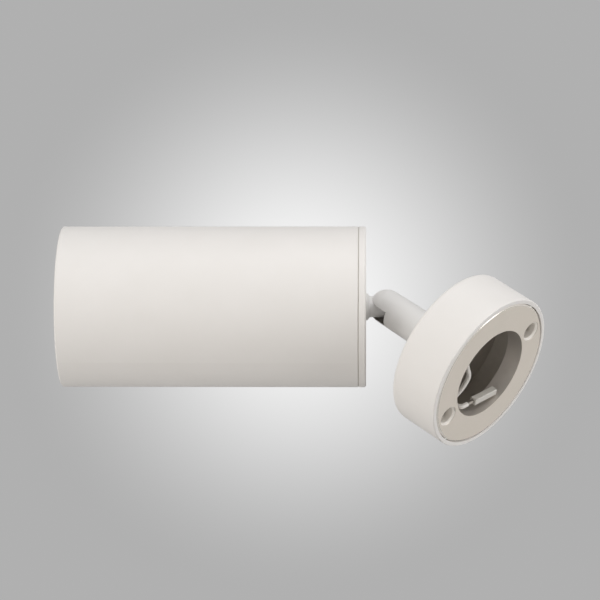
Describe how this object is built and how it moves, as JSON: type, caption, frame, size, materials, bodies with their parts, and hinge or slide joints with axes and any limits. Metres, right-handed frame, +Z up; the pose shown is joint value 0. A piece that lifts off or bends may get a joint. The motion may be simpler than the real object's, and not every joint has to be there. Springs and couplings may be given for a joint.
{
  "type": "surface mounted ceiling spotlight",
  "caption": "Surface mounted spotlight: a round ceiling canopy, a swivelling stem and a tilting cylinder head that holds a twist-lock reflector lamp behind a push-in ring.",
  "frame": {"origin": "centre of the mounting plate's ceiling face", "axes": "+Z up towards the ceiling and along the stem's swivel axis; the tilt pivot runs along Y; the head leans towards +X"},
  "size_m": [0.1351, 0.0608, 0.1594],
  "materials": {
    "coat": "matt warm white powder coat",
    "bare_aluminium": "satin turned aluminium",
    "steel": "zinc plated steel",
    "strap_steel": "pressed steel strap",
    "nylon": "natural nylon",
    "insulation": "white silicone insulation",
    "crimp": "darkened crimped copper",
    "connector_shell": "white nylon shell",
    "ceramic": "unglazed white steatite",
    "contact": "sprung nickel brass",
    "lamp_body": "white moulded lamp body",
    "lamp_pin": "nickel plated pins",
    "lens": "clear lens with a fine stipple",
    "ring_finish": "matt warm white",
    "grip": "black silicone rubber",
    "sleeving": "woven glass fibre sleeving"
  },
  "bodies": {
    "canopy": {"ceiling_canopy": "coat", "mounting_plate": "bare_aluminium", "side_screws": "steel", "stop_pin": "steel", "supply_lead": "insulation", "lead_ferrule": "crimp", "lead_connector": "connector_shell"},
    "stem": {"stem_fork": "coat", "pivot_screw": "steel", "friction_washer": "nylon", "stop_washer": "steel", "stem_nut": "steel"},
    "head": {"knuckle": "coat", "lock_washer": "steel", "knuckle_nut": "steel", "rear_cap": "coat", "body_tube": "coat", "holder_bracket": "strap_steel", "bracket_screws": "steel", "lampholder": "ceramic", "holder_cover": "ceramic", "holder_screws": "steel", "holder_contacts": "contact", "head_leads": "insulation", "lead_sleeves": "sleeving"},
    "lamp": {"lamp_base": "lamp_body", "lamp_pins": "lamp_pin", "lamp_reflector": "lamp_body", "lamp_lens": "lens"},
    "front_ring": {"front_ring": "ring_finish", "ring_grip": "grip"}
  },
  "joints": [
    {"name": "swivel", "type": "hinge", "parent": "canopy", "child": "stem", "pos_m": [0, 0, -0.0206], "axis": [0, 0, 1], "range_deg": [-165, 165]},
    {"name": "tilt", "type": "hinge", "parent": "stem", "child": "head", "pos_m": [0, 0, -0.0511], "axis": [0, -1, 0], "range_deg": [-43.4, 46.6]},
    {"name": "ring_pull", "type": "slide", "parent": "head", "child": "front_ring", "axis": [0.6871, 0, -0.7266], "range_m": [0, 0.02]},
    {"name": "lamp_twist", "type": "hinge", "parent": "head", "child": "lamp", "pos_m": [0, 0, -0.0511], "axis": [0.6871, 0, -0.7266], "range_deg": [0, 20]}
  ]
}
